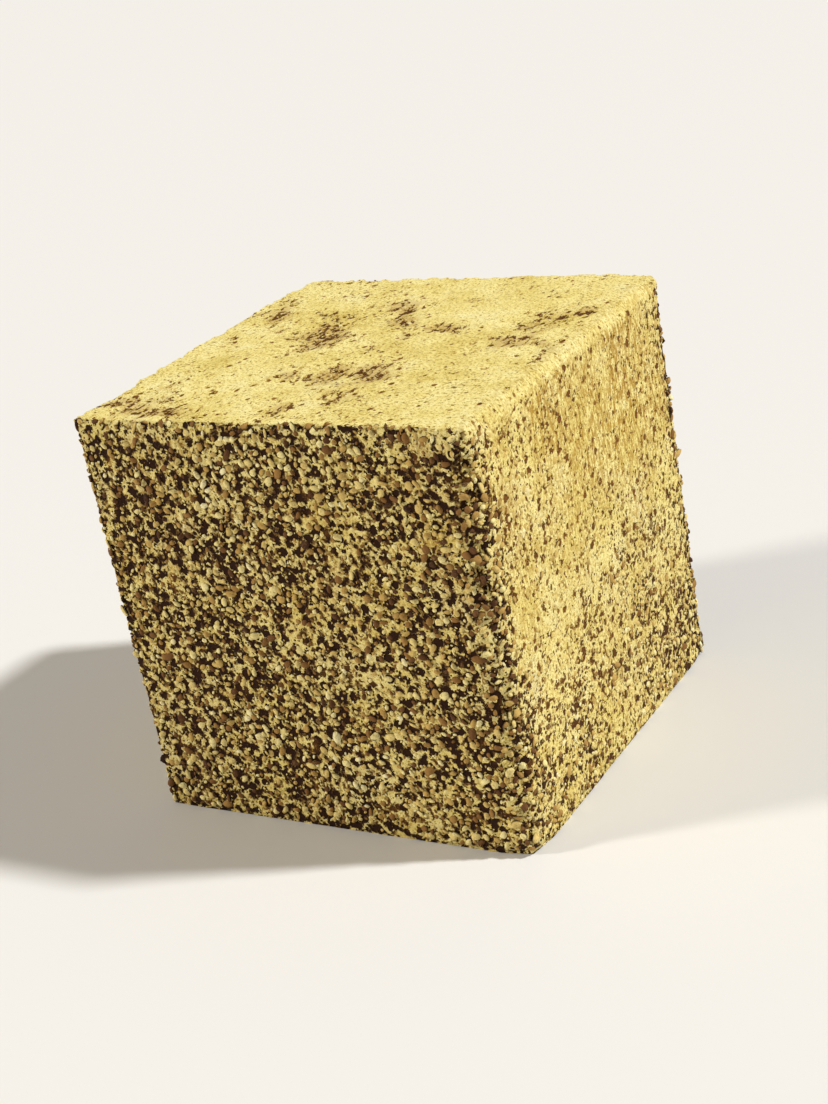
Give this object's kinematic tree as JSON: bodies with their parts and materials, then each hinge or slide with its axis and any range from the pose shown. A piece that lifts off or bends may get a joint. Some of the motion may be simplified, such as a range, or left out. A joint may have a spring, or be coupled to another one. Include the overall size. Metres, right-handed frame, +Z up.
{
  "type": "concrete breakwater armour cube",
  "caption": "Massive cast concrete cube for a breakwater's armour layer, with sea-worn edges, a broken top corner, shallow hollows in its top and washed-out gravel on its sides.",
  "frame": {"origin": "middle of the base, on the face the block was cast on", "axes": "+Z up out of the base, -Y towards the front face, +X to the right seen from the front"},
  "size_m": [2.2, 2.2, 2.2],
  "materials": {
    "concrete": "sea-worn mass concrete: pale weathered mortar on the top, exposed rounded gravel on the sides"
  },
  "bodies": {
    "root": {"armour_block": "concrete"}
  },
  "joints": []
}
